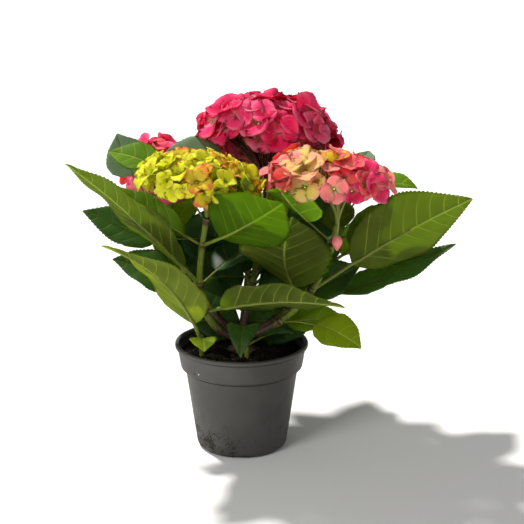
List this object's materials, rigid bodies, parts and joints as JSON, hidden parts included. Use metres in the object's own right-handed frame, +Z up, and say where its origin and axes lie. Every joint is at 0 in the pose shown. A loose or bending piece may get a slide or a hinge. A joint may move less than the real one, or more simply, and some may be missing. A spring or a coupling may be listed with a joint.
{
  "type": "potted hydrangea shrub",
  "caption": "Flowering mophead hydrangea in a grey round nursery pot, with upright leafy shoots that fan out from a short woody crown.",
  "frame": {"origin": "middle of the pot's flat underside, on the surface that it stands on", "axes": "+Z up along the pot's axis; -Y towards the side with the long leaf that crosses low in front of the shoots; +X to the right seen from there"},
  "size_m": [0.4093, 0.3522, 0.3726],
  "materials": {
    "pot_plastic": "thin recycled plastic, matt, mottled warm grey, scuffed and dusted with peat",
    "potting_mix": "moist dark peat mix, crumbly",
    "woody_stem": "rough brown bark",
    "green_stem": "smooth pale green stem with dark red nodes",
    "leaf": "satin green upper side with sunken veins, paler matt underside",
    "crimson_flower": "soft matt crimson-pink sepals with pale centres",
    "lime_flower": "soft matt lime-green sepals flushed with salmon",
    "salmon_flower": "soft matt salmon-pink sepals"
  },
  "bodies": {
    "root": {"pot": "pot_plastic", "potting_mix": "potting_mix", "main_stem": "woody_stem", "bough_front_left": "green_stem", "bough_front_right": "green_stem", "bough_right": "green_stem", "bough_back_centre": "green_stem", "bough_back_left": "green_stem", "bough_back": "green_stem", "foliage_front_left": "leaf", "foliage_front_right": "leaf", "foliage_right": "leaf", "foliage_back_centre": "leaf", "foliage_back_left": "leaf", "foliage_back": "leaf", "foliage_basal_left": "leaf", "foliage_basal_front": "leaf", "flower_head_back_centre": "crimson_flower", "flower_head_front_left": "lime_flower", "flower_head_front_right": "salmon_flower", "flower_head_back_left": "crimson_flower", "flower_head_back": "salmon_flower"}
  },
  "joints": []
}
